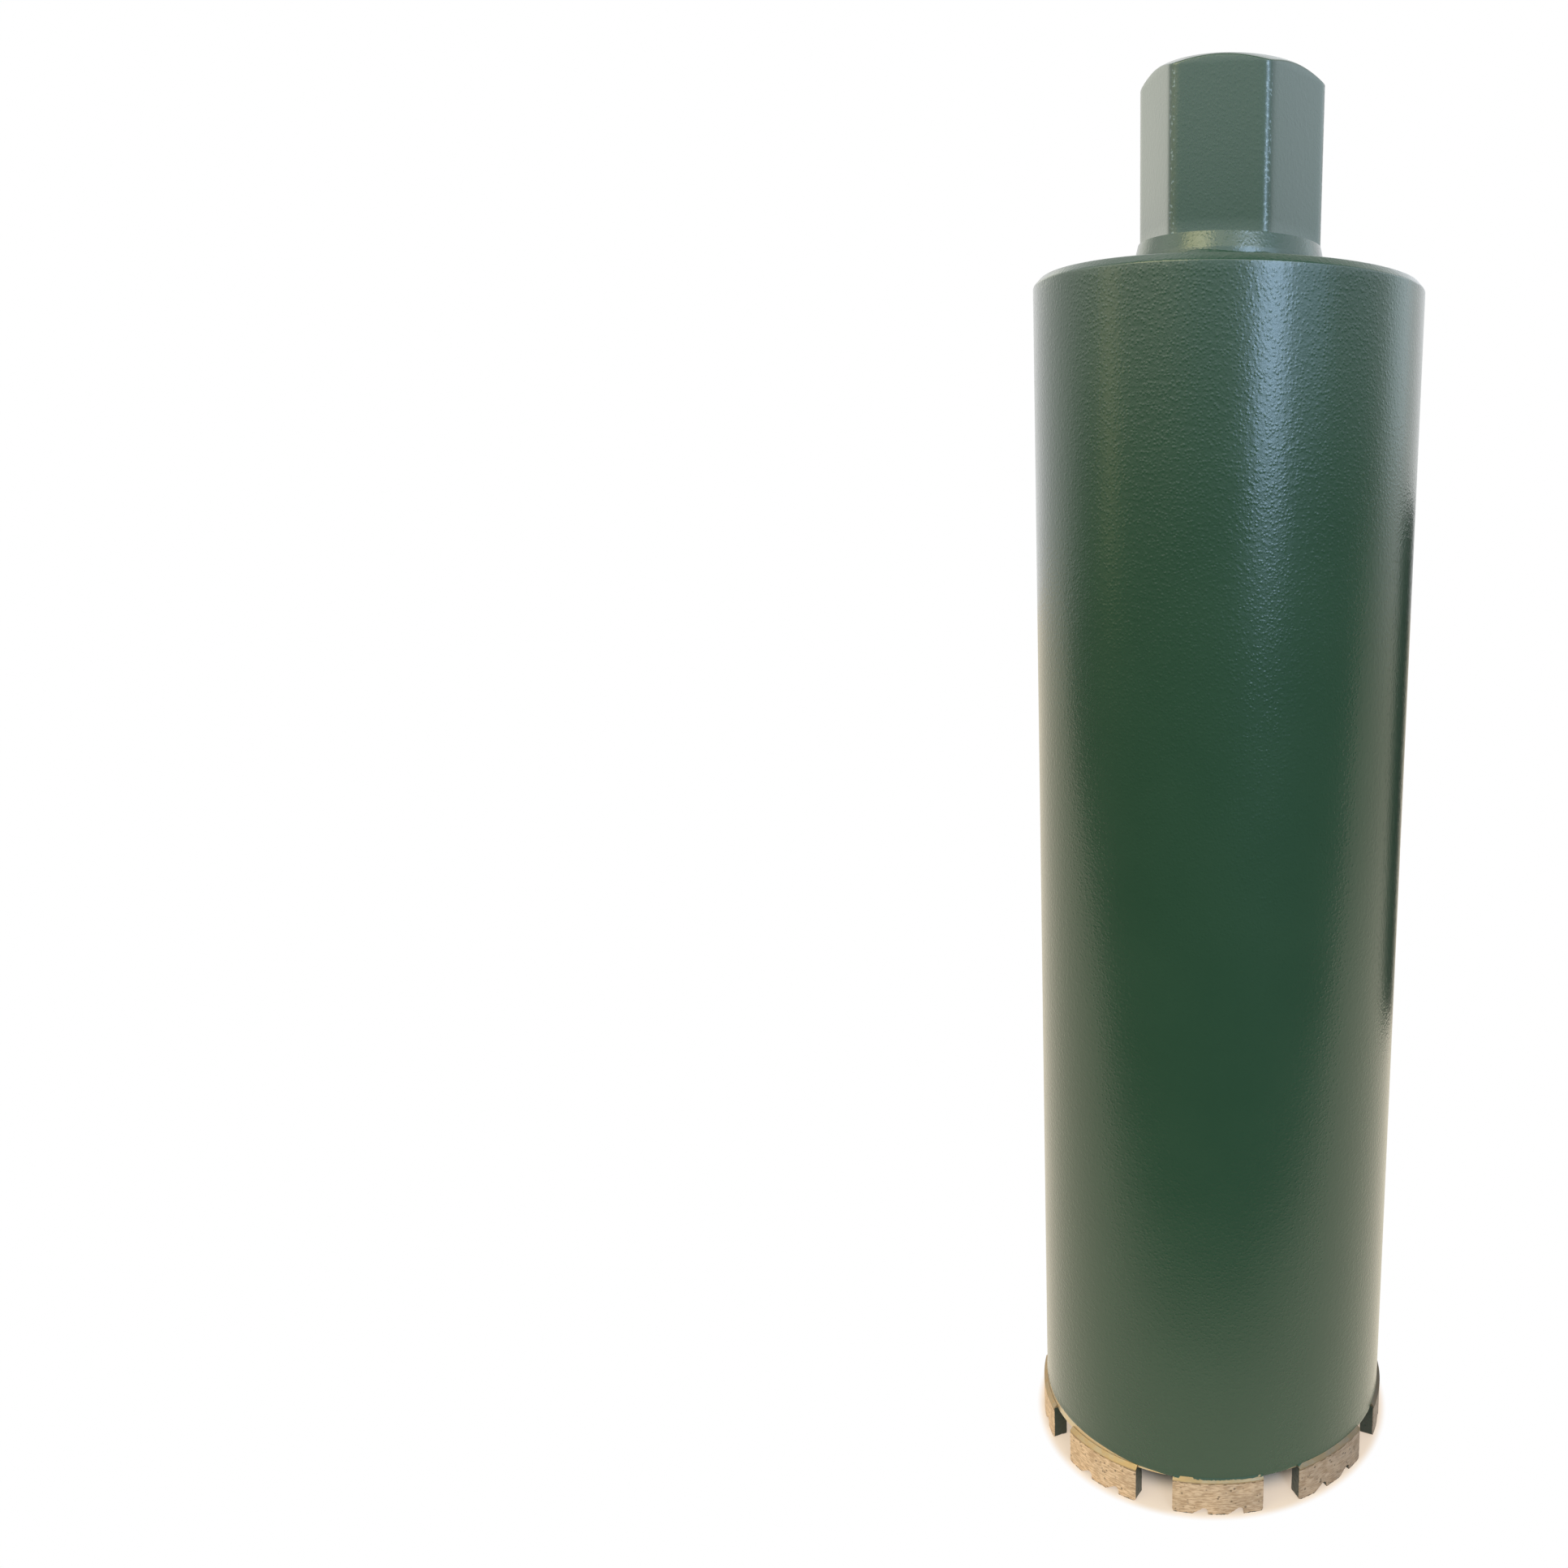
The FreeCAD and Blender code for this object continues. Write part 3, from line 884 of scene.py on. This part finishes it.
def make_world():
    """Studio: white backdrop behind the bit and beside it, and a room in front of it."""
    world = bpy.data.worlds.new("studio")
    bpy.context.scene.world = world
    world.use_nodes = True
    tree = world.node_tree
    tree.nodes.clear()
    direction = tree.nodes.new("ShaderNodeTexCoord").outputs["Generated"]
    turn = node(tree, "ShaderNodeMapping", {"vector_type": "TEXTURE"}, Vector=direction)
    turn.inputs["Rotation"].default_value[2] = math.radians(CAMERA_AZIMUTH)
    parts = node(tree, "ShaderNodeSeparateXYZ", None, Vector=turn.outputs["Vector"]).outputs
    towards = multiply(tree, parts["Y"], -1.0)
    azimuth = calculate(tree, "DEGREES", calculate(tree, "ARCTAN2", parts["X"], towards))
    high = blend(tree, ramp(tree, azimuth, *AHEAD_TO_LEFT), ROOM_AHEAD, ROOM_LEFT)
    high = blend(tree, ramp(tree, azimuth, *AHEAD_TO_RIGHT), high, ROOM_RIGHT)
    high = blend(tree, ramp(tree, parts["Z"], *HIGH_TO_TOP), high, ROOM_TOP)
    front = blend(tree, ramp(tree, parts["Z"], *LOW_TO_HIGH), ROOM_LOW, high)
    left = ramp(tree, azimuth, *BACKDROP_LEFT)
    right = multiply(tree, ramp(tree, azimuth, *BACKDROP_RIGHT), BACKDROP_RIGHT_SHARE)
    seen = tree.nodes.new("ShaderNodeLightPath").outputs["Is Camera Ray"]
    white = calculate(tree, "MAXIMUM", add(tree, left, right), seen)
    colour = blend(tree, white, front, WHITE)
    background = node(tree, "ShaderNodeBackground", None, Color=colour, Strength=1.0)
    show_surface(tree, background.outputs["Background"], "ShaderNodeOutputWorld")


def make_flag():
    """Dark panel behind the bit, out of the picture, that only reflections show."""
    material, tree = start_material("flag")[:2]
    shader = node(tree, "ShaderNodeBsdfDiffuse", None, Color=FLAG_COLOUR)
    show_surface(tree, shader.outputs["BSDF"])
    corners = []
    for azimuth in FLAG_AZIMUTHS:
        turn = math.radians(CAMERA_AZIMUTH + azimuth)
        for height in FLAG_HEIGHTS:
            corners.append((FLAG_DISTANCE * math.sin(turn), -FLAG_DISTANCE * math.cos(turn), height))
    flag = add_sheet("flag", corners, (0, 1, 3, 2), material)
    flag.visible_camera = False
    flag.visible_diffuse = False
    flag.visible_shadow = False


def make_lamp(name, azimuth, elevation, size, power, colour, distance=1.0):
    """Soft box aimed at the bit; azimuth is counted from the camera towards +X."""
    data = bpy.data.lights.new(name, "AREA")
    data.shape = "RECTANGLE"
    data.size, data.size_y = size
    data.energy = power
    data.color = colour
    lamp = add_object(name, data)
    azimuth = math.radians(CAMERA_AZIMUTH + azimuth)
    elevation = math.radians(elevation)
    target = Vector((0, 0, cad_high.z / 2))
    back = Vector((math.sin(azimuth) * math.cos(elevation),
                   -math.cos(azimuth) * math.cos(elevation), math.sin(elevation)))
    lamp.location = target + back * distance
    lamp.rotation_euler = back.to_track_quat("Z", "Y").to_euler()
    lamp.visible_camera = False


def make_lamps():
    """Soft boxes: cool ones on the right, warm ones on the left, pale ones above."""
    make_lamp("window", azimuth=24, elevation=24, size=(0.27, 0.60), power=4.8,
              colour=(0.50, 0.70, 1.0))
    make_lamp("window_side", azimuth=46, elevation=26, size=(0.34, 0.50), power=1.0,
              colour=(0.45, 0.70, 1.0))
    make_lamp("left_strip", azimuth=-69, elevation=15, size=(0.15, 0.44), power=0.22,
              colour=(1.0, 0.90, 0.40))
    make_lamp("left_back", azimuth=-135, elevation=28, size=(0.5, 0.35), power=0.24,
              colour=(1.0, 1.0, 0.72))
    make_lamp("right_back", azimuth=114, elevation=21, size=(0.40, 0.48), power=0.52,
              colour=(0.62, 0.85, 1.0))
    make_lamp("above", azimuth=-75, elevation=70, size=(0.8, 0.5), power=0.6,
              colour=(1.0, 0.97, 0.90), distance=1.2)
    make_lamp("ceiling", azimuth=-2, elevation=45, size=(1.3, 0.2), power=2.1,
              colour=(1.0, 1.0, 0.84))
    make_lamp("front_left", azimuth=-42, elevation=40, size=(0.46, 0.30), power=1.95,
              colour=(1.0, 0.90, 0.42))


# The studio
bpy.context.scene.view_settings.view_transform = "Standard"
make_camera()
make_world()
make_floor()
make_flag()
make_lamps()

# The bit
green_paint = make_paint()
make_barrel(make_tube_paint())
make_end_plate(green_paint)
segment_metal = make_segment_metal()
braze_metal = make_braze_metal()
make_hub(make_hub_paint())
make_hub_weld(green_paint)
for name in SEGMENT_NODES:
    make_segment(name, segment_metal)
for name in BRAZE_NODES:
    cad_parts[name].data.materials[0] = braze_metal
